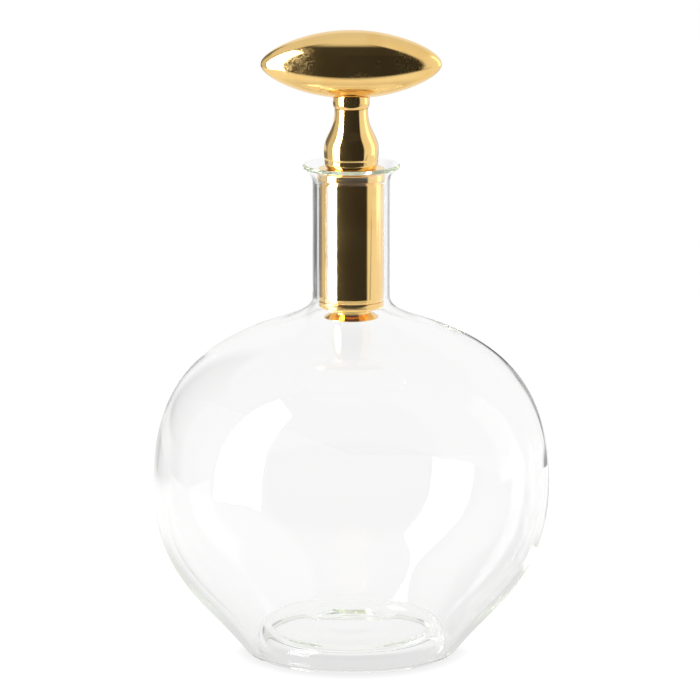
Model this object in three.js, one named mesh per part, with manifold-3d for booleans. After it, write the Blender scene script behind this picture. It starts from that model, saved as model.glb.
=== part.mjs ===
// A round glass decanter with a flared lip and a turned brass stopper.
// Millimetres, +Z up. The table is z = 0 and the axis of the glass is the Z axis.

import * as THREE from 'three';
import { mergeVertices } from 'three/addons/utils/BufferGeometryUtils.js';
import loadSolids from 'manifold-3d';

// Glass: base and body
const footRadius = 38.3;          // outer edge of the flat ring that stands on the table
const footWidth = 1.6;            // width of that ring
const heelBend = 4.2;             // radius of the turn between body and foot
const heelLean = 52;              // degrees, slope of the wall where it leaves the heel
const heelReach = 27;             // how far that slope carries on before the belly turns it
const bodyRadius = 76.6;          // widest place of the belly
const bellyHeight = 67.5;         // height of the widest place
const bellyDrop = 36;             // pull of the belly's upright tangent, downwards
const bellyRise = 66;             // pull of the belly's upright tangent, upwards
const shoulderDrop = 15;          // pull of the neck's upright tangent into the shoulder
const kickUpBend = 2.4;           // radius of the turn between foot and kick-up
const kickUpHeight = 8.1;         // height of the flat ceiling of the hollow under the base
const kickUpRim = 3;              // radius of the turn between that ceiling and its upright side
const dimpleRadius = 15.6;        // edge of the shallow dimple in the middle of the base, inside

// Glass: neck and lip
const neckRadius = 14.85;
const neckFoot = 139.7;           // height at which the neck becomes straight
const neckLength = 43.8;          // straight part of the neck
const lipOverhang = 3.82;         // how far the lip stands out from the neck
const lipRise = 7.7;              // from the top of the straight neck to the top of the lip
const lipLean = 35;               // degrees, slope of the lip at its edge

// Glass: wall thickness at each place
const dimpleWall = 1.35;
const kickUpWall = 2.2;
const heelWall = 2.3;
const bodyWall = 1.8;
const neckWall = 1.65;

// Stopper: plug
const plugClearance = 0.78;       // between plug and bore, all round
const plugLength = 50.9;          // from the underside of the head to the underside of the end cap
const sleeveWall = 1.3;
const sleeveTaper = 0.35;         // how much the sleeve draws in at its lower end
const sleeveTaperHeight = 1.8;
const endCapHeight = 3.1;         // from the end cap's underside to its seam with the sleeve
const endCapRound = 1.2;          // rounded edge of the end cap
const endNeckRadius = 7.4;        // waist between the end cap and its foot
const endFootRadius = 10.5;       // flared foot under the end cap
const endFootDrop = 4.6;          // from the end cap's underside to the foot's underside
const endFootRise = 2.2;          // height of the flare
const endFootEdge = 0.3;          // thickness of the flare's edge
const spigotDepth = 4;            // how far cap and head reach into the sleeve
const spigotWall = 2;
const fitClearance = 0.2;         // pushed-together fits
const stackGap = 0.1;             // left between faces that are clamped together

// Stopper: seat in the lip
const seatRise = 1.35;            // seat ring's underside above the top of the straight neck
const seatRingHeight = 1.1;
const seatClearance = 0.2;        // between the seat and the flare of the lip
const headStep = 0.45;            // how far the head stands out from the plug
const headHeight = 3.45;
const headRound = 0.5;

// Stopper: stem and collar
const stemHeight = 23.2;
const stemFootRadius = 9.2;
const stemEdgeRadius = 10.25;     // crisp edge low on the bulb
const stemEdgeHeight = 2.9;
const stemFootPull = 1;           // height at which the underside of the bulb turns upright
const stemBulbRadius = 10.5;
const stemBulbHeight = 7.2;
const stemBulbPull = 5.3;         // pull of the bulb's upright tangent, upwards
const stemWaistRadius = 6.4;
const stemWaistPull = 7.4;        // pull of the waist's upright tangent, downwards
const stemWaistLength = 1.2;      // straight part just under the collar
const collarHeight = 5.6;
const collarEndRadius = 6.3;
const collarBulge = 0.75;

// Stopper: knob, a solid spindle lying along X
const knobHalfLength = 34.6;
const knobRadius = 13.1;          // at the middle
const knobMiddlePull = 18.1;      // pull of the level middle towards each tip
const knobTipPull = 5;            // pull of the blunt tip outwards from the spindle's axis
const knobSeatDepth = 2;          // how deep the collar sits in the knob's underside
const knobSeatClearance = 0.3;    // between the collar's bead and the round recess
const knobHoleSpare = 1.5;        // blind hole beyond the end of the rod

// Stopper: tie rod and its nut
const rodRadius = 3;
const rodClearance = 0.25;
const rodInKnob = 10;
const rodPastNut = 1.5;
const washerRadius = 7;
const washerHeight = 1.2;
const nutSides = 6;
const nutAcrossFlats = 10;
const nutHeight = 5;
const rodChamfer = 0.5;

// Facets
const roundSegments = 40;         // glass and knob
const plugSegments = 32;          // plug and stem
const rodSegments = 20;           // collar, rod and washer

// Worked out from the sizes above
const boreRadius = neckRadius - neckWall;
const flareFoot = neckFoot + neckLength;
const plugRadius = boreRadius - plugClearance;
const sleeveBore = plugRadius - sleeveWall;
const rodHole = rodRadius + rodClearance;

// Heights of the stopper's pieces, from the seat ring up and from the head down
const seatRingFoot = flareFoot + seatRise;
const headFoot = seatRingFoot + seatRingHeight + stackGap;
const stemFoot = headFoot + headHeight + stackGap;
const collarFoot = stemFoot + stemHeight + stackGap;
const knobFoot = collarFoot + collarHeight + stackGap;
const knobAxis = knobFoot - knobSeatDepth + knobRadius;
const sleeveTop = seatRingFoot - stackGap;
const endCapFoot = headFoot - plugLength;
const sleeveFoot = endCapFoot + endCapHeight + stackGap;
const washerFoot = headFoot - spigotDepth - stackGap - washerHeight;
const nutFoot = washerFoot - stackGap - nutHeight;

const clearGlass = { color: 0xe9efe9, roughness: 0.03, metalness: 0 };
const clearSilicone = { color: 0xdfe3dc, roughness: 0.35, metalness: 0 };
const polishedBrass = { color: 0xd6a850, roughness: 0.12, metalness: 1 };
const platedSteel = { color: 0xa3a4a2, roughness: 0.35, metalness: 1 };

const solids = await loadSolids();
solids.setup();

const radians = THREE.MathUtils.degToRad;
const at = (radius, height) => new THREE.Vector2(radius, height);
const along = (angle, length) => at(Math.cos(angle) * length, Math.sin(angle) * length);

// A named mesh whose own zero lies at the given height on the axis
function piece(name, geometry, finish, height) {
  const mesh = new THREE.Mesh(geometry, new THREE.MeshStandardMaterial(finish));
  mesh.name = name;
  mesh.position.z = height;
  return mesh;
}

// Turns a profile of radius and height about the Z axis
function turned(profile, segments) {
  return new THREE.LatheGeometry(profile, segments).rotateX(Math.PI / 2);
}

// A profile that is a ring in section closes on its first point
function closed(profile) {
  return [...profile, profile[0].clone()];
}

// A round arc of a profile; angles in degrees from the +radius direction
function arc(radius, height, size, fromAngle, toAngle) {
  const clockwise = toAngle < fromAngle;
  return new THREE.EllipseCurve(radius, height, size, size, radians(fromAngle), radians(toAngle), clockwise);
}

// A closed geometry as a solid that can be cut. The slivers that a turned profile leaves
// on its axis have two corners in one place, so they drop out.
function solidFrom(geometry) {
  const bare = geometry.clone();
  bare.deleteAttribute('normal');
  bare.deleteAttribute('uv');
  const merged = mergeVertices(bare);
  const corners = merged.index.array;
  const triVerts = [];
  for (let first = 0; first < corners.length; first += 3) {
    const triangle = corners.slice(first, first + 3);
    if (new Set(triangle).size === 3) {
      triVerts.push(...triangle);
    }
  }
  return new solids.Manifold(new solids.Mesh({
    numProp: 3,
    vertProperties: new Float32Array(merged.attributes.position.array),
    triVerts: new Uint32Array(triVerts),
  }));
}

function geometryFrom(solid) {
  const { vertProperties, triVerts } = solid.getMesh();
  const geometry = new THREE.BufferGeometry();
  geometry.setAttribute('position', new THREE.BufferAttribute(vertProperties, 3));
  geometry.setIndex(new THREE.BufferAttribute(triVerts, 1));
  geometry.computeVertexNormals();
  return geometry;
}

// Ways in which the wall changes along a curve
const even = (wall) => () => wall;
const fading = (start, end) => (share) => start + (end - start) * THREE.MathUtils.smoothstep(share, 0, 1);
const dished = (middle, edge) => (share) => middle + (edge - middle) * share ** 2;

// Follows curves end to end and returns their line and the line one wall further in.
// The inside lies to the left of the way the curves run.
function sheet(stretches) {
  const outer = [];
  const inner = [];
  stretches.forEach(({ curve, steps, wallAt }, index) => {
    for (let step = index === 0 ? 0 : 1; step <= steps; step += 1) {
      const share = step / steps;
      const point = curve.getPoint(share);
      const tangent = curve.getTangent(share);
      const wall = wallAt(share);
      outer.push(point);
      inner.push(at(point.x - tangent.y * wall, point.y + tangent.x * wall));
    }
  });
  return { outer, inner };
}

// The blown glass, followed from the middle of the base to the edge of the lip
function glassSheet() {
  const footInner = footRadius - footWidth;
  const sideRadius = footInner - kickUpBend;
  const rimStart = sideRadius - kickUpRim;
  const rimFoot = kickUpHeight - kickUpRim;
  const dimple = new THREE.LineCurve(at(0, kickUpHeight), at(dimpleRadius, kickUpHeight));
  const ceiling = new THREE.LineCurve(at(dimpleRadius, kickUpHeight), at(rimStart, kickUpHeight));
  const rim = arc(rimStart, rimFoot, kickUpRim, 90, 0);
  const sideWall = new THREE.LineCurve(at(sideRadius, rimFoot), at(sideRadius, kickUpBend));
  const sideTurn = arc(footInner, kickUpBend, kickUpBend, 180, 270);
  const foot = new THREE.LineCurve(at(footInner, 0), at(footRadius, 0));
  const heel = arc(footRadius, heelBend, heelBend, -90, heelLean - 90);

  const heelEnd = heel.getPoint(1);
  const lowerBody = new THREE.CubicBezierCurve(
    heelEnd,
    heelEnd.clone().add(along(radians(heelLean), heelReach)),
    at(bodyRadius, bellyHeight - bellyDrop),
    at(bodyRadius, bellyHeight),
  );
  const upperBody = new THREE.CubicBezierCurve(
    at(bodyRadius, bellyHeight),
    at(bodyRadius, bellyHeight + bellyRise),
    at(neckRadius, neckFoot - shoulderDrop),
    at(neckRadius, neckFoot),
  );
  const neck = new THREE.LineCurve(at(neckRadius, neckFoot), at(neckRadius, flareFoot));

  const lipRadius = neckRadius + lipOverhang - neckWall / 2;
  const lipHeight = flareFoot + lipRise - neckWall / 2;
  const lean = radians(lipLean);
  const flareEnd = at(lipRadius, lipHeight).add(along(lean - Math.PI / 2, neckWall / 2));
  const flareTurn = at(neckRadius, flareEnd.y - (flareEnd.x - neckRadius) * Math.tan(lean));
  const flare = new THREE.QuadraticBezierCurve(at(neckRadius, flareFoot), flareTurn, flareEnd);

  return sheet([
    { curve: dimple, steps: 3, wallAt: dished(dimpleWall, kickUpWall) },
    { curve: ceiling, steps: 1, wallAt: even(kickUpWall) },
    { curve: rim, steps: 3, wallAt: even(kickUpWall) },
    { curve: sideWall, steps: 1, wallAt: even(kickUpWall) },
    { curve: sideTurn, steps: 3, wallAt: fading(kickUpWall, heelWall) },
    { curve: foot, steps: 1, wallAt: even(heelWall) },
    { curve: heel, steps: 3, wallAt: even(heelWall) },
    { curve: lowerBody, steps: 7, wallAt: fading(heelWall, bodyWall) },
    { curve: upperBody, steps: 12, wallAt: fading(bodyWall, neckWall) },
    { curve: neck, steps: 1, wallAt: even(neckWall) },
    { curve: flare, steps: 4, wallAt: even(neckWall) },
  ]);
}

// The rounded edge of the lip joins the outside of the glass to its inside
function glassProfile({ outer, inner }) {
  const outerEdge = outer.at(-1);
  const innerEdge = inner.at(-1);
  const middle = outerEdge.clone().add(innerEdge).divideScalar(2);
  const edge = arc(middle.x, middle.y, neckWall / 2, lipLean - 90, lipLean + 90);
  const edgePoints = edge.getPoints(4).slice(1, -1);
  return [...outer, ...edgePoints, ...[...inner].reverse()];
}

// Radius of the inside of the neck or lip at a height
function boreAt(inner, height) {
  const above = inner.findIndex((point) => point.y > height);
  const [low, high] = [inner[above - 1], inner[above]];
  const share = (height - low.y) / (high.y - low.y);
  return THREE.MathUtils.lerp(low.x, high.x, share);
}

const glass = glassSheet();
const seatRadiusAt = (height) => boreAt(glass.inner, height) - seatClearance;

// Soft ring held between head and sleeve, tapered like the flare that it rests in
function seatRing() {
  const profile = [
    at(sleeveBore, 0),
    at(seatRadiusAt(seatRingFoot), 0),
    at(seatRadiusAt(seatRingFoot + seatRingHeight), seatRingHeight),
    at(sleeveBore, seatRingHeight),
  ];
  return piece('seat_ring', turned(closed(profile), plugSegments), clearSilicone, seatRingFoot);
}

// Top of the plug: a band, with a spigot that carries the seat ring and the sleeve
function plugHead() {
  const bandRadius = plugRadius + headStep;
  const spigotRadius = sleeveBore - fitClearance;
  const topEdge = arc(bandRadius - headRound, headHeight - headRound, headRound, 0, 90);
  const profile = [
    at(rodHole, -spigotDepth),
    at(spigotRadius, -spigotDepth),
    at(spigotRadius, 0),
    at(bandRadius, 0),
    ...topEdge.getPoints(3),
    at(rodHole, headHeight),
  ];
  return piece('plug_head', turned(closed(profile), plugSegments), polishedBrass, headFoot);
}

// Straight tube of the plug, drawn in a little at its lower end
function plugSleeve() {
  const length = sleeveTop - sleeveFoot;
  const profile = [
    at(sleeveBore, 0),
    at(plugRadius - sleeveTaper, 0),
    at(plugRadius, sleeveTaperHeight),
    at(plugRadius, length),
    at(sleeveBore, length),
  ];
  return piece('plug_sleeve', turned(closed(profile), plugSegments), polishedBrass, sleeveFoot);
}

// Closed end of the plug, with a hollow spigot inside the sleeve and a flared foot below
function plugEndCap() {
  const spigotRadius = sleeveBore - fitClearance;
  const edge = arc(plugRadius - endCapRound, endCapRound, endCapRound, -90, 0);
  const profile = [
    at(0, -endFootDrop),
    at(endFootRadius, -endFootDrop),
    at(endFootRadius, endFootEdge - endFootDrop),
    at(endNeckRadius, endFootRise - endFootDrop),
    at(endNeckRadius, 0),
    ...edge.getPoints(4),
    at(plugRadius, endCapHeight),
    at(spigotRadius, endCapHeight),
    at(spigotRadius, endCapHeight + spigotDepth),
    at(spigotRadius - spigotWall, endCapHeight + spigotDepth),
    at(spigotRadius - spigotWall, endCapHeight),
    at(0, endCapHeight),
  ];
  return piece('plug_end_cap', turned(profile, plugSegments), polishedBrass, endCapFoot);
}

// Turned baluster stem, bored for the tie rod
function stem() {
  const waist = stemHeight - stemWaistLength;
  const underside = new THREE.QuadraticBezierCurve(
    at(stemFootRadius, 0),
    at(stemEdgeRadius, stemFootPull),
    at(stemEdgeRadius, stemEdgeHeight),
  );
  const bulb = new THREE.QuadraticBezierCurve(
    at(stemEdgeRadius, stemEdgeHeight),
    at(stemBulbRadius, (stemEdgeHeight + stemBulbHeight) / 2),
    at(stemBulbRadius, stemBulbHeight),
  );
  const flank = new THREE.CubicBezierCurve(
    at(stemBulbRadius, stemBulbHeight),
    at(stemBulbRadius, stemBulbHeight + stemBulbPull),
    at(stemWaistRadius, waist - stemWaistPull),
    at(stemWaistRadius, waist),
  );
  const profile = [
    at(rodHole, 0),
    ...underside.getPoints(3),
    ...bulb.getPoints(3).slice(1),
    ...flank.getPoints(9).slice(1),
    at(stemWaistRadius, stemHeight),
    at(rodHole, stemHeight),
  ];
  return piece('stem', turned(closed(profile), plugSegments), polishedBrass, stemFoot);
}

// Bead between stem and knob
function collar() {
  const half = collarHeight / 2;
  const bead = new THREE.EllipseCurve(
    collarEndRadius, half, collarBulge, half, radians(-90), radians(90), false,
  );
  const profile = [at(rodHole, 0), ...bead.getPoints(6), at(rodHole, collarHeight)];
  return piece('collar', turned(closed(profile), rodSegments), polishedBrass, collarFoot);
}

// Spindle-shaped knob. Its underside has a round recess for the collar and a blind hole for the rod.
function knob() {
  const half = new THREE.CubicBezierCurve(
    at(0, -knobHalfLength),
    at(knobTipPull, -knobHalfLength),
    at(knobRadius, -knobMiddlePull),
    at(knobRadius, 0),
  ).getPoints(9);
  const otherHalf = half.slice(0, -1).reverse().map((point) => at(point.x, -point.y));
  const spindle = turned([...half, ...otherHalf], roundSegments).rotateY(Math.PI / 2);

  const seatHeight = knobFoot - knobAxis;
  const recessRadius = collarEndRadius + collarBulge + knobSeatClearance;
  const holeEnd = seatHeight + rodInKnob + knobHoleSpare;
  const cutter = turned([
    at(0, -2 * knobRadius),
    at(recessRadius, -2 * knobRadius),
    at(recessRadius, seatHeight),
    at(rodHole, seatHeight),
    at(rodHole, holeEnd),
    at(0, holeEnd),
  ], rodSegments);
  const cut = solidFrom(spindle).subtract(solidFrom(cutter));
  return piece('knob', geometryFrom(cut), polishedBrass, knobAxis);
}

// Rod that clamps knob, collar, stem and head together
function tieRod() {
  const foot = nutFoot - rodPastNut;
  const length = knobFoot + rodInKnob - foot;
  const profile = [
    at(0, 0),
    at(rodRadius - rodChamfer, 0),
    at(rodRadius, rodChamfer),
    at(rodRadius, length - rodChamfer),
    at(rodRadius - rodChamfer, length),
    at(0, length),
  ];
  return piece('tie_rod', turned(profile, rodSegments), platedSteel, foot);
}

function clampWasher() {
  const profile = [
    at(rodHole, 0),
    at(washerRadius, 0),
    at(washerRadius, washerHeight),
    at(rodHole, washerHeight),
  ];
  return piece('clamp_washer', turned(closed(profile), rodSegments), platedSteel, washerFoot);
}

function clampNut() {
  const sideAngle = (2 * Math.PI) / nutSides;
  const cornerRadius = nutAcrossFlats / 2 / Math.cos(sideAngle / 2);
  const corners = Array.from({ length: nutSides }, (_, side) => along(side * sideAngle, cornerRadius));
  const outline = new THREE.Shape(corners);
  outline.holes.push(new THREE.Path().absarc(0, 0, rodHole, 0, 2 * Math.PI, true));
  const options = { depth: nutHeight, bevelEnabled: false, curveSegments: rodSegments };
  return piece('clamp_nut', new THREE.ExtrudeGeometry(outline, options), platedSteel, nutFoot);
}

const stopper = new THREE.Group();
stopper.add(seatRing(), plugHead(), plugSleeve(), plugEndCap());
stopper.add(stem(), collar());
stopper.add(knob(), tieRod(), clampWasher(), clampNut());

const decanter = new THREE.Group();
decanter.add(piece('glass_vessel', turned(glassProfile(glass), roundSegments), clearGlass, 0));
decanter.add(stopper);

export default decanter;
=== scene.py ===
import math

import bpy
from mathutils import Matrix, Vector


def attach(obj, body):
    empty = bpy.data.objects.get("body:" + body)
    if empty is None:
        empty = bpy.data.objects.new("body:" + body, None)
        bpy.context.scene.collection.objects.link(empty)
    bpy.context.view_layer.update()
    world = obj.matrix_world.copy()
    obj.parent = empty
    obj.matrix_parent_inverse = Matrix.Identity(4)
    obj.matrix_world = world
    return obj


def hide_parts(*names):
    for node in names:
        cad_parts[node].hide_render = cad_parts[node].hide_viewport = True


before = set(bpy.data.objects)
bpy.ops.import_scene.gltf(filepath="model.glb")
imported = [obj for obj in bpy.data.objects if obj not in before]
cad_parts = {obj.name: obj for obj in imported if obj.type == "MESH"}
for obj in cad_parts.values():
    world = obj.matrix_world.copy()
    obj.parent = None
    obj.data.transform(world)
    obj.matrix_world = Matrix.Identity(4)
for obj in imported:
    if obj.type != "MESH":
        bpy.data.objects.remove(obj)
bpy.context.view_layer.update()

MM = 0.001

# Sizes of the decanter in millimetres, the same values as the solids have
FOOT_RADIUS = 38.3
FOOT_WIDTH = 1.6
HEEL_BEND = 4.2
HEEL_LEAN = 52
HEEL_REACH = 27
BODY_RADIUS = 76.6
BELLY_HEIGHT = 67.5
BELLY_DROP = 36
BELLY_RISE = 66
SHOULDER_DROP = 15
KICK_UP_BEND = 2.4
KICK_UP_HEIGHT = 8.1
KICK_UP_RIM = 3
DIMPLE_RADIUS = 15.6
NECK_RADIUS = 14.85
NECK_FOOT = 139.7
NECK_LENGTH = 43.8
LIP_OVERHANG = 3.82
LIP_RISE = 7.7
LIP_LEAN = 35
DIMPLE_WALL = 1.35
KICK_UP_WALL = 2.2
HEEL_WALL = 2.3
BODY_WALL = 1.8
NECK_WALL = 1.65

PLUG_CLEARANCE = 0.78
PLUG_LENGTH = 50.9
SLEEVE_WALL = 1.3
SLEEVE_TAPER = 0.35
SLEEVE_TAPER_HEIGHT = 1.8
END_CAP_HEIGHT = 3.1
END_CAP_ROUND = 1.2
END_NECK_RADIUS = 7.4
END_FOOT_RADIUS = 10.5
END_FOOT_RISE = 2.2
END_FOOT_EDGE = 0.3
END_FOOT_DROP = 4.6
SPIGOT_DEPTH = 4
SPIGOT_WALL = 2
FIT_CLEARANCE = 0.2
STACK_GAP = 0.1
SEAT_RISE = 1.35
SEAT_RING_HEIGHT = 1.1
SEAT_CLEARANCE = 0.2
HEAD_STEP = 0.45
HEAD_HEIGHT = 3.45
HEAD_ROUND = 0.5

STEM_HEIGHT = 23.2
STEM_FOOT_RADIUS = 9.2
STEM_EDGE_RADIUS = 10.25
STEM_EDGE_HEIGHT = 2.9
STEM_FOOT_PULL = 1
STEM_BULB_RADIUS = 10.5
STEM_BULB_HEIGHT = 7.2
STEM_BULB_PULL = 5.3
STEM_WAIST_RADIUS = 6.4
STEM_WAIST_PULL = 7.4
STEM_WAIST_LENGTH = 1.2
COLLAR_HEIGHT = 5.6
COLLAR_END_RADIUS = 6.3
COLLAR_BULGE = 0.75

KNOB_HALF_LENGTH = 34.6
KNOB_RADIUS = 13.1
KNOB_MIDDLE_PULL = 18.1
KNOB_TIP_PULL = 5
KNOB_SEAT_DEPTH = 2
KNOB_SEAT_CLEARANCE = 0.3
KNOB_HOLE_DEPTH = 11.5
ROD_HOLE = 3.25

BORE_RADIUS = NECK_RADIUS - NECK_WALL
FLARE_FOOT = NECK_FOOT + NECK_LENGTH
PLUG_RADIUS = BORE_RADIUS - PLUG_CLEARANCE
SLEEVE_BORE = PLUG_RADIUS - SLEEVE_WALL
SEAT_RING_FOOT = FLARE_FOOT + SEAT_RISE
HEAD_FOOT = SEAT_RING_FOOT + SEAT_RING_HEIGHT + STACK_GAP
STEM_FOOT = HEAD_FOOT + HEAD_HEIGHT + STACK_GAP
COLLAR_FOOT = STEM_FOOT + STEM_HEIGHT + STACK_GAP
KNOB_FOOT = COLLAR_FOOT + COLLAR_HEIGHT + STACK_GAP
KNOB_AXIS = KNOB_FOOT - KNOB_SEAT_DEPTH + KNOB_RADIUS
SLEEVE_TOP = SEAT_RING_FOOT - STACK_GAP
END_CAP_FOOT = HEAD_FOOT - PLUG_LENGTH
SLEEVE_FOOT = END_CAP_FOOT + END_CAP_HEIGHT + STACK_GAP

# Fineness of the meshes: steps round the axis, along the knob, and a step that counts as none
SEGMENTS = 192
RECESS_SEGMENTS = 96
KNOB_STEPS = 60
TANGENT_STEP = 1e-4
ON_AXIS = 1e-6


# Curves of a profile, each a function of a share from 0 to 1 that gives (radius, height)

def straight(a, b):
    return lambda t: (a[0] + (b[0] - a[0]) * t, a[1] + (b[1] - a[1]) * t)


def bezier(*points):
    def at(t):
        level = list(points)
        while len(level) > 1:
            level = [
                (p[0] + (q[0] - p[0]) * t, p[1] + (q[1] - p[1]) * t)
                for p, q in zip(level, level[1:])
            ]
        return level[0]
    return at


def arc(radius, height, wide, tall, start, end):
    def at(t):
        angle = math.radians(start + (end - start) * t)
        return (radius + wide * math.cos(angle), height + tall * math.sin(angle))
    return at


def along(point, degrees, length):
    angle = math.radians(degrees)
    return (point[0] + math.cos(angle) * length, point[1] + math.sin(angle) * length)


def points_on(curve, steps):
    return [curve(step / steps) for step in range(steps + 1)]


# How thick a wall is along a curve, each a function of the same share

def even(wall):
    return lambda t: wall


def fading(start, end):
    return lambda t: start + (end - start) * t * t * (3 - 2 * t)


def dished(middle, edge):
    return lambda t: middle + (edge - middle) * t * t


def sheet(stretches):
    """The line along the curves, and the line one wall to the left of it."""
    outer, inner = [], []
    for index, (curve, steps, wall_at) in enumerate(stretches):
        for step in range(0 if index == 0 else 1, steps + 1):
            share = step / steps
            before = curve(max(share - TANGENT_STEP, 0))
            after = curve(min(share + TANGENT_STEP, 1))
            size = math.hypot(after[0] - before[0], after[1] - before[1])
            tangent = ((after[0] - before[0]) / size, (after[1] - before[1]) / size)
            wall = wall_at(share)
            point = curve(share)
            outer.append(point)
            inner.append((point[0] - tangent[1] * wall, point[1] + tangent[0] * wall))
    return outer, inner


def turned(name, profile, closed, foot=0.0, segments=SEGMENTS, crease=30):
    """A mesh turned about the Z axis from a profile that has its outside on its right."""
    verts, faces, rings = [], [], []
    for radius, height in profile:
        z = (foot + height) * MM
        if radius < ON_AXIS:
            rings.append([len(verts)])
            verts.append((0, 0, z))
            continue
        rings.append(list(range(len(verts), len(verts) + segments)))
        for step in range(segments):
            angle = 2 * math.pi * step / segments
            verts.append((radius * MM * math.cos(angle), radius * MM * math.sin(angle), z))
    pairs = list(zip(rings, rings[1:]))
    if closed:
        pairs.append((rings[-1], rings[0]))
    for low, high in pairs:
        for step in range(segments):
            after = (step + 1) % segments
            if len(low) == 1 and len(high) == 1:
                break
            if len(low) == 1:
                faces.append((low[0], high[after], high[step]))
            elif len(high) == 1:
                faces.append((low[step], low[after], high[0]))
            else:
                faces.append((low[step], low[after], high[after], high[step]))
    mesh = bpy.data.meshes.new(name)
    mesh.from_pydata(verts, [], faces)
    mesh.update()
    mesh.polygons.foreach_set("use_smooth", [True] * len(mesh.polygons))
    mesh.set_sharp_from_angle(angle=math.radians(crease))
    obj = bpy.data.objects.new(name, mesh)
    bpy.context.scene.collection.objects.link(obj)
    return obj


def glass_lines():
    """The glass from the middle of its base, round the foot and up to the lip."""
    foot_inner = FOOT_RADIUS - FOOT_WIDTH
    side = foot_inner - KICK_UP_BEND
    rim_start = side - KICK_UP_RIM
    rim_foot = KICK_UP_HEIGHT - KICK_UP_RIM
    dimple = straight((0, KICK_UP_HEIGHT), (DIMPLE_RADIUS, KICK_UP_HEIGHT))
    ceiling = straight((DIMPLE_RADIUS, KICK_UP_HEIGHT), (rim_start, KICK_UP_HEIGHT))
    rim = arc(rim_start, rim_foot, KICK_UP_RIM, KICK_UP_RIM, 90, 0)
    side_wall = straight((side, rim_foot), (side, KICK_UP_BEND))
    side_turn = arc(foot_inner, KICK_UP_BEND, KICK_UP_BEND, KICK_UP_BEND, 180, 270)
    foot = straight((foot_inner, 0), (FOOT_RADIUS, 0))
    heel = arc(FOOT_RADIUS, HEEL_BEND, HEEL_BEND, HEEL_BEND, -90, HEEL_LEAN - 90)
    heel_end = heel(1)
    lower_body = bezier(
        heel_end,
        along(heel_end, HEEL_LEAN, HEEL_REACH),
        (BODY_RADIUS, BELLY_HEIGHT - BELLY_DROP),
        (BODY_RADIUS, BELLY_HEIGHT),
    )
    upper_body = bezier(
        (BODY_RADIUS, BELLY_HEIGHT),
        (BODY_RADIUS, BELLY_HEIGHT + BELLY_RISE),
        (NECK_RADIUS, NECK_FOOT - SHOULDER_DROP),
        (NECK_RADIUS, NECK_FOOT),
    )
    neck = straight((NECK_RADIUS, NECK_FOOT), (NECK_RADIUS, FLARE_FOOT))
    lip = (NECK_RADIUS + LIP_OVERHANG - NECK_WALL / 2, FLARE_FOOT + LIP_RISE - NECK_WALL / 2)
    flare_end = along(lip, LIP_LEAN - 90, NECK_WALL / 2)
    turn_height = flare_end[1] - (flare_end[0] - NECK_RADIUS) * math.tan(math.radians(LIP_LEAN))
    flare = bezier((NECK_RADIUS, FLARE_FOOT), (NECK_RADIUS, turn_height), flare_end)
    return sheet([
        (dimple, 24, dished(DIMPLE_WALL, KICK_UP_WALL)),
        (ceiling, 4, even(KICK_UP_WALL)),
        (rim, 32, even(KICK_UP_WALL)),
        (side_wall, 4, even(KICK_UP_WALL)),
        (side_turn, 28, fading(KICK_UP_WALL, HEEL_WALL)),
        (foot, 2, even(HEEL_WALL)),
        (heel, 20, even(HEEL_WALL)),
        (lower_body, 40, fading(HEEL_WALL, BODY_WALL)),
        (upper_body, 72, fading(BODY_WALL, NECK_WALL)),
        (neck, 6, even(NECK_WALL)),
        (flare, 16, even(NECK_WALL)),
    ])


GLASS_OUTER, GLASS_INNER = glass_lines()


def bore_at(height):
    """The radius inside the neck and its lip at a height."""
    for low, high in zip(GLASS_INNER, GLASS_INNER[1:]):
        if low[1] <= height < high[1] and height > NECK_FOOT:
            return low[0] + (high[0] - low[0]) * (height - low[1]) / (high[1] - low[1])
    return BORE_RADIUS


def seat_radius_at(height):
    return bore_at(height) - SEAT_CLEARANCE


def make_glass():
    outer_edge, inner_edge = GLASS_OUTER[-1], GLASS_INNER[-1]
    middle = ((outer_edge[0] + inner_edge[0]) / 2, (outer_edge[1] + inner_edge[1]) / 2)
    edge = arc(*middle, NECK_WALL / 2, NECK_WALL / 2, LIP_LEAN - 90, LIP_LEAN + 90)
    profile = GLASS_OUTER + points_on(edge, 10)[1:-1] + GLASS_INNER[::-1]
    return turned("decanter_glass", profile, False, crease=60)


def make_seat_ring():
    profile = [
        (SLEEVE_BORE, 0),
        (seat_radius_at(SEAT_RING_FOOT), 0),
        (seat_radius_at(SEAT_RING_FOOT + SEAT_RING_HEIGHT), SEAT_RING_HEIGHT),
        (SLEEVE_BORE, SEAT_RING_HEIGHT),
    ]
    return turned("seat_ring_soft", profile, True, SEAT_RING_FOOT)


def make_plug_head():
    band = PLUG_RADIUS + HEAD_STEP
    spigot = SLEEVE_BORE - FIT_CLEARANCE
    top_edge = arc(band - HEAD_ROUND, HEAD_HEIGHT - HEAD_ROUND, HEAD_ROUND, HEAD_ROUND, 0, 90)
    profile = [
        (ROD_HOLE, -SPIGOT_DEPTH),
        (spigot, -SPIGOT_DEPTH),
        (spigot, 0),
        (band, 0),
        *points_on(top_edge, 8),
        (ROD_HOLE, HEAD_HEIGHT),
    ]
    return turned("plug_head_brass", profile, True, HEAD_FOOT, crease=20)


def make_plug_sleeve():
    length = SLEEVE_TOP - SLEEVE_FOOT
    profile = [
        (SLEEVE_BORE, 0),
        (PLUG_RADIUS - SLEEVE_TAPER, 0),
        (PLUG_RADIUS, SLEEVE_TAPER_HEIGHT),
        (PLUG_RADIUS, length),
        (SLEEVE_BORE, length),
    ]
    return turned("plug_sleeve_brass", profile, True, SLEEVE_FOOT, crease=8)


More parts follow.
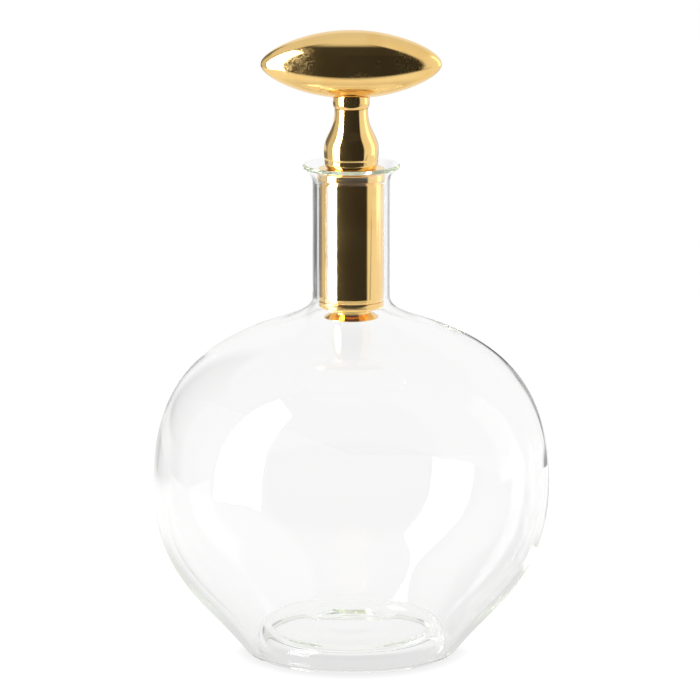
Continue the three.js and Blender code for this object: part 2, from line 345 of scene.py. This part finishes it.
def make_plug_end_cap():
    spigot = SLEEVE_BORE - FIT_CLEARANCE
    edge = arc(PLUG_RADIUS - END_CAP_ROUND, END_CAP_ROUND, END_CAP_ROUND, END_CAP_ROUND, -90, 0)
    foot_top = straight(
        (END_FOOT_RADIUS, END_FOOT_EDGE - END_FOOT_DROP), (END_NECK_RADIUS, END_FOOT_RISE - END_FOOT_DROP),
    )
    profile = [
        (0, -END_FOOT_DROP),
        (END_FOOT_RADIUS, -END_FOOT_DROP),
        *points_on(foot_top, 8),
        (END_NECK_RADIUS, 0),
        *points_on(edge, 12),
        (PLUG_RADIUS, END_CAP_HEIGHT),
        (spigot, END_CAP_HEIGHT),
        (spigot, END_CAP_HEIGHT + SPIGOT_DEPTH),
        (spigot - SPIGOT_WALL, END_CAP_HEIGHT + SPIGOT_DEPTH),
        (spigot - SPIGOT_WALL, END_CAP_HEIGHT),
        (0, END_CAP_HEIGHT),
    ]
    return turned("plug_end_brass", profile, False, END_CAP_FOOT)


def make_stem():
    waist = STEM_HEIGHT - STEM_WAIST_LENGTH
    underside = bezier(
        (STEM_FOOT_RADIUS, 0), (STEM_EDGE_RADIUS, STEM_FOOT_PULL), (STEM_EDGE_RADIUS, STEM_EDGE_HEIGHT),
    )
    bulb = bezier(
        (STEM_EDGE_RADIUS, STEM_EDGE_HEIGHT),
        (STEM_BULB_RADIUS, (STEM_EDGE_HEIGHT + STEM_BULB_HEIGHT) / 2),
        (STEM_BULB_RADIUS, STEM_BULB_HEIGHT),
    )
    flank = bezier(
        (STEM_BULB_RADIUS, STEM_BULB_HEIGHT),
        (STEM_BULB_RADIUS, STEM_BULB_HEIGHT + STEM_BULB_PULL),
        (STEM_WAIST_RADIUS, waist - STEM_WAIST_PULL),
        (STEM_WAIST_RADIUS, waist),
    )
    profile = [
        (ROD_HOLE, 0),
        *points_on(underside, 12),
        *points_on(bulb, 12)[1:],
        *points_on(flank, 40)[1:],
        (STEM_WAIST_RADIUS, STEM_HEIGHT),
        (ROD_HOLE, STEM_HEIGHT),
    ]
    return turned("stem_brass", profile, True, STEM_FOOT, crease=20)


def make_collar():
    half = COLLAR_HEIGHT / 2
    bead = arc(COLLAR_END_RADIUS, half, COLLAR_BULGE, half, -90, 90)
    profile = [(ROD_HOLE, 0), *points_on(bead, 24), (ROD_HOLE, COLLAR_HEIGHT)]
    return turned("collar_brass", profile, True, COLLAR_FOOT, crease=40)


def cut(obj, cutter):
    """Takes the cutter's space out of a piece for good."""
    modifier = obj.modifiers.new("cut", "BOOLEAN")
    modifier.operation = "DIFFERENCE"
    modifier.object = cutter
    drawn = obj.evaluated_get(bpy.context.evaluated_depsgraph_get())
    mesh = bpy.data.meshes.new_from_object(drawn)
    obj.modifiers.clear()
    obj.data = mesh
    bpy.data.objects.remove(cutter)


def make_knob():
    half = points_on(bezier(
        (0, -KNOB_HALF_LENGTH),
        (KNOB_TIP_PULL, -KNOB_HALF_LENGTH),
        (KNOB_RADIUS, -KNOB_MIDDLE_PULL),
        (KNOB_RADIUS, 0),
    ), KNOB_STEPS)
    other_half = [(radius, -place) for radius, place in half[-2::-1]]
    knob = turned("knob_brass", half + other_half, False)
    lying = Matrix.Rotation(math.radians(90), 4, "Y")
    knob.data.transform(Matrix.Translation((0, 0, KNOB_AXIS * MM)) @ lying)
    recess = COLLAR_END_RADIUS + COLLAR_BULGE + KNOB_SEAT_CLEARANCE
    cutter = turned("knob_recess", [
        (0, -KNOB_RADIUS),
        (recess, -KNOB_RADIUS),
        (recess, 0),
        (ROD_HOLE, 0),
        (ROD_HOLE, KNOB_HOLE_DEPTH),
        (0, KNOB_HOLE_DEPTH),
    ], False, KNOB_FOOT, segments=RECESS_SEGMENTS)
    cut(knob, cutter)
    knob.data.set_sharp_from_angle(angle=math.radians(30))
    return knob


# Materials

GLASS_INDEX = 1.5
GLASS_SHINE = 0.3
GLASS_TINT = (0.6, 0.74, 0.33, 1)
GLASS_TINT_DENSITY = 2.4
WAVES_PER_METRE = 38
WAVE_DEPTH = 0.001

BRASS_TONES = ((0.93, 0.64, 0.25, 1), (0.88, 0.57, 0.2, 1))
TONES_PER_METRE = 70
PITS_PER_METRE = 2800
PIT_CLUSTERS_PER_METRE = 55
PIT_DEPTH = 0.00005
PIT_ROUGHNESS = 0.32
POLISH_LINES_PER_METRE = 1500
POLISH = (0.06, 0.1)
DULL_SPOT = (-0.021, -0.011, KNOB_AXIS * MM + 0.002)
DULL_REACH = (0.003, 0.013)

SILICONE_INDEX = 1.41
SILICONE_TONES = ((1.0, 0.94, 0.8, 1), (0.98, 0.9, 0.72, 1))
STEEL_TONES = ((0.62, 0.62, 0.6, 1), (0.5, 0.51, 0.5, 1))


def new_material(name):
    material = bpy.data.materials.new(name)
    material.use_nodes = True
    tree = material.node_tree
    tree.nodes.clear()
    output = tree.nodes.new("ShaderNodeOutputMaterial")
    shader = tree.nodes.new("ShaderNodeBsdfPrincipled")
    tree.links.new(shader.outputs["BSDF"], output.inputs["Surface"])
    return material, tree, shader, output


def node(tree, kind, **values):
    """A new node; each value is set on its property or its input of that name."""
    made = tree.nodes.new(kind)
    for key, value in values.items():
        if hasattr(made, key):
            setattr(made, key, value)
        else:
            made.inputs[key.replace("_", " ")].default_value = value
    return made


def detail(tree, kind, scale, stretch=(1, 1, 1), **values):
    """A texture fixed to the piece; scale counts per metre."""
    coords = node(tree, "ShaderNodeTexCoord")
    spread = node(tree, "ShaderNodeMapping", Scale=stretch)
    tree.links.new(coords.outputs["Object"], spread.inputs["Vector"])
    texture = node(tree, kind, Scale=scale, **values)
    tree.links.new(spread.outputs[0], texture.inputs["Vector"])
    return texture


def ranged(tree, value, low, high, to_low, to_high):
    """A smooth change from one level to another as the value passes from low to high."""
    made = node(tree, "ShaderNodeMapRange", interpolation_type="SMOOTHSTEP")
    for name, number in (("From Min", low), ("From Max", high), ("To Min", to_low), ("To Max", to_high)):
        made.inputs[name].default_value = number
    tree.links.new(value, made.inputs["Value"])
    return made.outputs[0]


def math_node(tree, operation, first, second):
    made = node(tree, "ShaderNodeMath", operation=operation)
    for socket, value in zip(made.inputs, (first, second)):
        if isinstance(value, (int, float)):
            socket.default_value = value
        else:
            tree.links.new(value, socket)
    return made.outputs[0]


def mixed(tree, factor, first, second):
    made = node(tree, "ShaderNodeMix")
    for socket, value in zip(("Factor", "A", "B"), (factor, first, second)):
        if isinstance(value, (int, float)):
            made.inputs[socket].default_value = value
        else:
            tree.links.new(value, made.inputs[socket])
    return made.outputs["Result"]


def distance_from(tree, place, point):
    made = node(tree, "ShaderNodeVectorMath", operation="DISTANCE")
    made.inputs[1].default_value = point
    tree.links.new(place.outputs["Object"], made.inputs[0])
    return made.outputs["Value"]


def bump(tree, shader, height, strength, distance):
    made = node(tree, "ShaderNodeBump", Strength=strength, Distance=distance)
    tree.links.new(height, made.inputs["Height"])
    tree.links.new(made.outputs[0], shader.inputs["Normal"])


def tinted(tree, shader, factor, plain, other):
    mix = node(tree, "ShaderNodeMix", data_type="RGBA")
    tree.links.new(factor, mix.inputs[0])
    # Sockets 6, 7 and 2 are the two colours and the mixed colour
    mix.inputs[6].default_value = plain
    mix.inputs[7].default_value = other
    tree.links.new(mix.outputs[2], shader.inputs["Base Color"])


def glass_material():
    """Clear blown glass: faintly wavy, a little green where it is thick."""
    material, tree, shader, output = new_material("clear_glass")
    shader.inputs["Base Color"].default_value = (1, 1, 1, 1)
    shader.inputs["Transmission Weight"].default_value = 1.0
    shader.inputs["Roughness"].default_value = 0.0
    shader.inputs["IOR"].default_value = GLASS_INDEX
    shader.inputs["Specular Tint"].default_value = (GLASS_SHINE, GLASS_SHINE, GLASS_SHINE, 1)
    waves = detail(tree, "ShaderNodeTexNoise", WAVES_PER_METRE, (1, 1, 0.6), Detail=1.0)
    bump(tree, shader, waves.outputs[0], 0.12, WAVE_DEPTH)
    absorb = tree.nodes.new("ShaderNodeVolumeAbsorption")
    absorb.inputs["Color"].default_value = GLASS_TINT
    absorb.inputs["Density"].default_value = GLASS_TINT_DENSITY
    tree.links.new(absorb.outputs["Volume"], output.inputs["Volume"])
    # Lamps shine through the glass, less so at its edges
    path = node(tree, "ShaderNodeLightPath")
    facing = node(tree, "ShaderNodeLayerWeight")
    passing = node(tree, "ShaderNodeBsdfTransparent")
    tree.links.new(ranged(tree, facing.outputs["Facing"], 0.5, 1, 0.95, 0.55), passing.inputs["Color"])
    mix = node(tree, "ShaderNodeMixShader")
    tree.links.new(path.outputs["Is Shadow Ray"], mix.inputs[0])
    tree.links.new(shader.outputs["BSDF"], mix.inputs[1])
    tree.links.new(passing.outputs[0], mix.inputs[2])
    tree.links.new(mix.outputs[0], output.inputs["Surface"])
    return material


def brass_material():
    """Polished brass with clusters of fine pits, polishing lines and a slight change of tone."""
    material, tree, shader, _ = new_material("polished_brass")
    shader.inputs["Metallic"].default_value = 1.0
    tone = detail(tree, "ShaderNodeTexNoise", TONES_PER_METRE, Detail=3.0)
    tinted(tree, shader, ranged(tree, tone.outputs[0], 0.4, 0.7, 0, 1), *BRASS_TONES)
    cells = detail(tree, "ShaderNodeTexVoronoi", PITS_PER_METRE)
    dots = ranged(tree, cells.outputs["Distance"], 0.15, 0.45, 1, 0)
    clusters = detail(tree, "ShaderNodeTexNoise", PIT_CLUSTERS_PER_METRE, Detail=2.0)
    # Fingers have dulled one side of the knob
    place = node(tree, "ShaderNodeTexCoord")
    handled = ranged(tree, distance_from(tree, place, DULL_SPOT), *DULL_REACH, 1, 0)
    dulled = math_node(tree, "MAXIMUM", ranged(tree, clusters.outputs[0], 0.42, 0.64, 0, 0.8), handled)
    pits = math_node(tree, "MULTIPLY", dots, dulled)
    lines = detail(tree, "ShaderNodeTexNoise", POLISH_LINES_PER_METRE, (0.02, 0.02, 1), Detail=2.0)
    polish = ranged(tree, lines.outputs[0], 0.3, 0.8, *POLISH)
    worn = math_node(tree, "MULTIPLY", pits, PIT_ROUGHNESS)
    tree.links.new(math_node(tree, "ADD", polish, worn), shader.inputs["Roughness"])
    depth = math_node(tree, "SUBTRACT", math_node(tree, "MULTIPLY", lines.outputs[0], 0.15), pits)
    bump(tree, shader, depth, 0.08, PIT_DEPTH)
    return material


def silicone_material():
    """Clear silicone, slightly warm and softly matt in places."""
    material, tree, shader, _ = new_material("clear_silicone")
    shader.inputs["Transmission Weight"].default_value = 1.0
    shader.inputs["IOR"].default_value = SILICONE_INDEX
    cloud = detail(tree, "ShaderNodeTexNoise", 400, Detail=2.0)
    tinted(tree, shader, cloud.outputs[0], *SILICONE_TONES)
    tree.links.new(ranged(tree, cloud.outputs[0], 0.3, 0.7, 0.05, 0.14), shader.inputs["Roughness"])
    return material


def steel_material():
    """Zinc-plated steel with a fine thread-like grain and faint cloudiness."""
    material, tree, shader, _ = new_material("plated_steel")
    shader.inputs["Metallic"].default_value = 1.0
    cloud = detail(tree, "ShaderNodeTexNoise", 300, Detail=3.0)
    tinted(tree, shader, cloud.outputs[0], *STEEL_TONES)
    tree.links.new(ranged(tree, cloud.outputs[0], 0.3, 0.7, 0.22, 0.4), shader.inputs["Roughness"])
    grain = detail(tree, "ShaderNodeTexNoise", 900, (0.05, 0.05, 1))
    bump(tree, shader, grain.outputs[0], 0.2, 0.0001)
    return material


def dress(obj, material, body, slot, *nodes):
    obj.data.materials.clear()
    obj.data.materials.append(material)
    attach(obj, body)
    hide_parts(*nodes)


glass = glass_material()
brass = brass_material()
silicone = silicone_material()
steel = steel_material()

dress(make_glass(), glass, "vessel", "clear_glass", "glass_vessel")
dress(make_seat_ring(), silicone, "seat", "clear_silicone", "seat_ring")
dress(make_plug_head(), brass, "stopper", "polished_brass", "plug_head")
dress(make_plug_sleeve(), brass, "stopper", "polished_brass", "plug_sleeve")
dress(make_plug_end_cap(), brass, "stopper", "polished_brass", "plug_end_cap")
dress(make_stem(), brass, "stopper", "polished_brass", "stem")
dress(make_collar(), brass, "stopper", "polished_brass", "collar")
dress(make_knob(), brass, "stopper", "polished_brass", "knob")
for name in ("tie_rod", "clamp_washer", "clamp_nut"):
    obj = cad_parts[name]
    obj.data.materials.clear()
    obj.data.materials.append(steel)


# Stage

# The studio round the object: degrees from straight in front, to the right, and brightness
ROUND_LEVELS = (
    (-122, 0.3), (-116, 0.7), (-88, 0.7), (-84, 0.3), (-56, 0.1), (-43, 0.06), (10, 0.035), (54, 0.03),
    (60, 0.95), (95, 1.0), (98, 1.8), (116, 1.8), (119, 1.0),
)
DEEP_LEVELS = (
    (-180, 0.9), (-169, 0.85), (-165, 0.2), (-126, 0.2), *ROUND_LEVELS,
    (150, 0.95), (153, 0.3), (162, 0.3), (165, 0.9), (180, 0.9),
)
LOW_LEVELS = (
    (-180, 0.9), (-138, 0.8), *ROUND_LEVELS,
    (160, 0.95), (163, 0.25), (174, 0.25), (177, 0.9), (180, 0.9),
)
WALL_LEVELS = ((-180, 0.95), (-160, 0.95), (-152, 0.2), (-138, 0.2), *ROUND_LEVELS, (180, 0.95))
CEILING_LEVELS = ((-180, 0.8), (-95, 0.8), (-85, 0.05), (54, 0.05), (60, 0.95), (180, 0.8))
TOP_LEVELS = ((-180, 0.85), (180, 0.85))
# Each layer of the room, and the degrees above level between which it takes over
ROOM_LAYERS = (
    (DEEP_LEVELS, None),
    (LOW_LEVELS, (-10.5, -8.5)),
    (WALL_LEVELS, (-2, 1)),
    (CEILING_LEVELS, (35, 41)),
    (TOP_LEVELS, (65, 84)),
)
BACKDROP_LEVEL = 0.945
BACKDROP_WHITE = 0.06
STAGE_SHARE = 0.8
STAGE_RISE = (-0.1, 0.1)
# Light that has passed no more surfaces than this has met one wall of the glass
ONE_WALL = 2.5

TABLE_CORNERS = ((-0.5, -0.3), (0.9, -0.3), (0.9, 0.34), (0, 0.34), (-0.15, 0.62), (-0.5, 0.62))
TABLE_DROP = 0.0002
TABLE_LEVEL = 0.93
TABLE_SHADE = 0.05
TABLE_GLOW = BACKDROP_LEVEL - 0.042
TABLE_WHITE = 0.1
NEAR_SHADE = 0.25
NEAR_REACH = (0.09, 0.2)
UNDER_SHADE = 0.17
UNDER_REACH = (0.038, 0.05)
UNDER_HALF = (-0.006, 0.012)
# Painted shade on the table to the left, behind the object, seen only in reflections
PAINTED_SHADE_CORNER = (-0.35, 0.45, 0)
PAINTED_CORNER_SHADE = 0.4
PAINTED_CORNER_REACH = (0.15, 0.27)
BRINK = (-0.3, -0.21)
BRINK_SHADE = 0.75
BRINK_DIMMING = 0.06
LAMP_SIDE = (-0.5, -0.25)
LAMP_SIDE_DIMMING = 0.1

LAMP_LEVEL = 14
LAMP_PLACE = (-0.9, -0.41, 0.5)
LAMP_SIZE = (0.58, 2.2)
CAMERA_LENS = 288
CAMERA_SENSOR = 36
CAMERA_TARGET = (-0.00046, 0, 0.11846)
CAMERA_DISTANCE = 2.156
CAMERA_ELEVATION = 11.8
BOUNCES = 128


def make_floor():
    """A white table: the camera and the glass see it as white, mirrored light sees it shaded."""
    mesh = bpy.data.meshes.new("floor")
    corners = [(x, y, 0) for x, y in TABLE_CORNERS]
    mesh.from_pydata(corners, [], [tuple(range(len(corners)))])
    floor = bpy.data.objects.new("floor", mesh)
    floor.location.z = -TABLE_DROP
    bpy.context.scene.collection.objects.link(floor)
    material = bpy.data.materials.new("floor_white")
    material.use_nodes = True
    tree = material.node_tree
    tree.nodes.clear()
    link = tree.links.new
    output = tree.nodes.new("ShaderNodeOutputMaterial")
    diffuse = node(tree, "ShaderNodeBsdfDiffuse", Color=(TABLE_SHADE, TABLE_SHADE, TABLE_SHADE, 1))
    path = node(tree, "ShaderNodeLightPath")
    place = node(tree, "ShaderNodeTexCoord")
    sides = node(tree, "ShaderNodeSeparateXYZ")
    link(place.outputs["Object"], sides.inputs[0])

    def step(kind, first, second):
        return math_node(tree, kind, first, second)

    # The glass mirrors the shade that it casts round its own foot
    reach = distance_from(tree, place, (0, 0, 0))
    mirrored = step("GREATER_THAN", path.outputs["Glossy Depth"], 0.5)
    by_glass = step("LESS_THAN", path.outputs["Transmission Depth"], ONE_WALL)
    near = ranged(tree, reach, *NEAR_REACH, NEAR_SHADE, 0)
    shade = step("MULTIPLY", near, step("MULTIPLY", mirrored, by_glass))
    # Painted shade darkens the table to the left, behind the object, where mirrored light sees it
    corner = distance_from(tree, place, PAINTED_SHADE_CORNER)
    shade = step("ADD", shade, ranged(tree, corner, *PAINTED_CORNER_REACH, PAINTED_CORNER_SHADE, 0))
    # Its front edge fades into the room
    brink = ranged(tree, sides.outputs["Y"], *BRINK, 1, 0)
    shade = step("MAXIMUM", shade, step("MULTIPLY", brink, BRINK_SHADE))
    level = step("MULTIPLY", mirrored, step("MULTIPLY", step("SUBTRACT", 1, shade), TABLE_LEVEL))
    # The foot shows the shade under the near half of the hollow base
    near_half = ranged(tree, sides.outputs["Y"], *UNDER_HALF, UNDER_SHADE, 0)
    under = step("MULTIPLY", near_half, ranged(tree, reach, *UNDER_REACH, 1, 0))
    # Seen through the glass, its front and left edges fade into the backdrop
    lamp_side = ranged(tree, sides.outputs["X"], *LAMP_SIDE, LAMP_SIDE_DIMMING, 0)
    dimmed = step("ADD", lamp_side, step("MULTIPLY", brink, BRINK_DIMMING))
    lit = step("SUBTRACT", TABLE_GLOW, step("ADD", under, dimmed))
    straight_on = step("MULTIPLY", step("SUBTRACT", 1, mirrored), lit)
    direct = step("MULTIPLY", path.outputs["Is Camera Ray"], step("ADD", dimmed, TABLE_WHITE))
    glow = node(tree, "ShaderNodeEmission")
    link(step("ADD", step("ADD", level, straight_on), direct), glow.inputs["Strength"])
    total = node(tree, "ShaderNodeAddShader")
    link(diffuse.outputs[0], total.inputs[0])
    link(glow.outputs[0], total.inputs[1])
    link(total.outputs[0], output.inputs["Surface"])
    mesh.materials.append(material)


def level_ramp(tree, levels):
    """Brightness by direction, over the full circle round the object."""
    ramp = node(tree, "ShaderNodeValToRGB")
    stops = ramp.color_ramp.elements
    for index, (degrees, level) in enumerate(levels):
        place = (degrees + 180) / 360
        stop = stops[index] if index < 2 else stops.new(place)
        stop.position = place
        stop.color = (level, level, level, 1)
    return ramp


def make_world():
    """White wherever the camera looks, also through the glass; reflections see a studio."""
    world = bpy.data.worlds.new("studio")
    bpy.context.scene.world = world
    world.use_nodes = True
    tree = world.node_tree
    tree.nodes.clear()
    link = tree.links.new
    output = node(tree, "ShaderNodeOutputWorld")
    background = node(tree, "ShaderNodeBackground", Color=(1, 1, 1, 1))
    path = node(tree, "ShaderNodeLightPath")
    coords = node(tree, "ShaderNodeTexCoord")
    axes = node(tree, "ShaderNodeSeparateXYZ")
    link(coords.outputs["Generated"], axes.inputs[0])

    def step(kind, first, second):
        return math_node(tree, kind, first, second)

    # How bright the room is round the object: 0 is straight in front, positive to the right
    azimuth = step("ARCTAN2", axes.outputs["X"], step("MULTIPLY", axes.outputs["Y"], -1))
    share = node(tree, "ShaderNodeMapRange", From_Min=-math.pi, From_Max=math.pi)
    link(azimuth, share.inputs["Value"])
    for levels, rise in ROOM_LAYERS:
        ramp = level_ramp(tree, levels)
        link(share.outputs[0], ramp.inputs[0])
        if rise is None:
            room = ramp.outputs["Color"]
            continue
        bottom, top = (math.sin(math.radians(degrees)) for degrees in rise)
        room = mixed(tree, ranged(tree, axes.outputs["Z"], bottom, top, 0, 1), room, ramp.outputs["Color"])

    # Light that turns round inside the glass and leaves it upwards comes from the white stage
    inside = step("GREATER_THAN", path.outputs["Transmission Depth"], 0.5)
    in_wall = step("MULTIPLY", inside, step("LESS_THAN", path.outputs["Transmission Depth"], ONE_WALL))
    upwards = ranged(tree, axes.outputs["Z"], *STAGE_RISE, 0, 1)
    lit = step("MULTIPLY", step("MULTIPLY", in_wall, upwards), STAGE_SHARE)
    mirrored_room = mixed(tree, lit, room, BACKDROP_LEVEL)
    # Straight through the glass there is only the white background
    bounced = step("ADD", path.outputs["Glossy Depth"], path.outputs["Diffuse Depth"])
    clear = step("LESS_THAN", bounced, 0.5)
    backdrop = step("ADD", step("MULTIPLY", path.outputs["Is Camera Ray"], BACKDROP_WHITE), BACKDROP_LEVEL)
    link(mixed(tree, clear, mirrored_room, backdrop), background.inputs["Strength"])
    link(background.outputs[0], output.inputs["Surface"])


def make_lamp(name, location, facing, size, radiance):
    """A flat rectangular softbox; size is its width and height, facing the way it shines."""
    data = bpy.data.lights.new(name, "AREA")
    data.shape = "RECTANGLE"
    data.size, data.size_y = size
    data.energy = radiance * math.pi * size[0] * size[1]
    lamp = bpy.data.objects.new(name, data)
    lamp.location = location
    lamp.rotation_euler = Vector(facing).to_track_quat("-Z", "Y").to_euler()
    lamp.visible_camera = False
    bpy.context.scene.collection.objects.link(lamp)


def make_camera():
    data = bpy.data.cameras.new("camera")
    data.lens = CAMERA_LENS
    data.sensor_width = CAMERA_SENSOR
    camera = bpy.data.objects.new("camera", data)
    elevation = math.radians(CAMERA_ELEVATION)
    away = Vector((0, -math.cos(elevation), math.sin(elevation)))
    camera.location = Vector(CAMERA_TARGET) + away * CAMERA_DISTANCE
    camera.rotation_euler = (-away).to_track_quat("-Z", "Y").to_euler()
    bpy.context.scene.collection.objects.link(camera)
    bpy.context.scene.camera = camera


make_floor()
make_world()
make_lamp("left_softbox", LAMP_PLACE, (1, 0, 0), LAMP_SIZE, LAMP_LEVEL)
make_camera()

scene = bpy.context.scene
scene.view_settings.view_transform = "Standard"
scene.cycles.max_bounces = BOUNCES
scene.cycles.transmission_bounces = BOUNCES
scene.cycles.glossy_bounces = BOUNCES
scene.cycles.caustics_reflective = False
scene.cycles.caustics_refractive = False
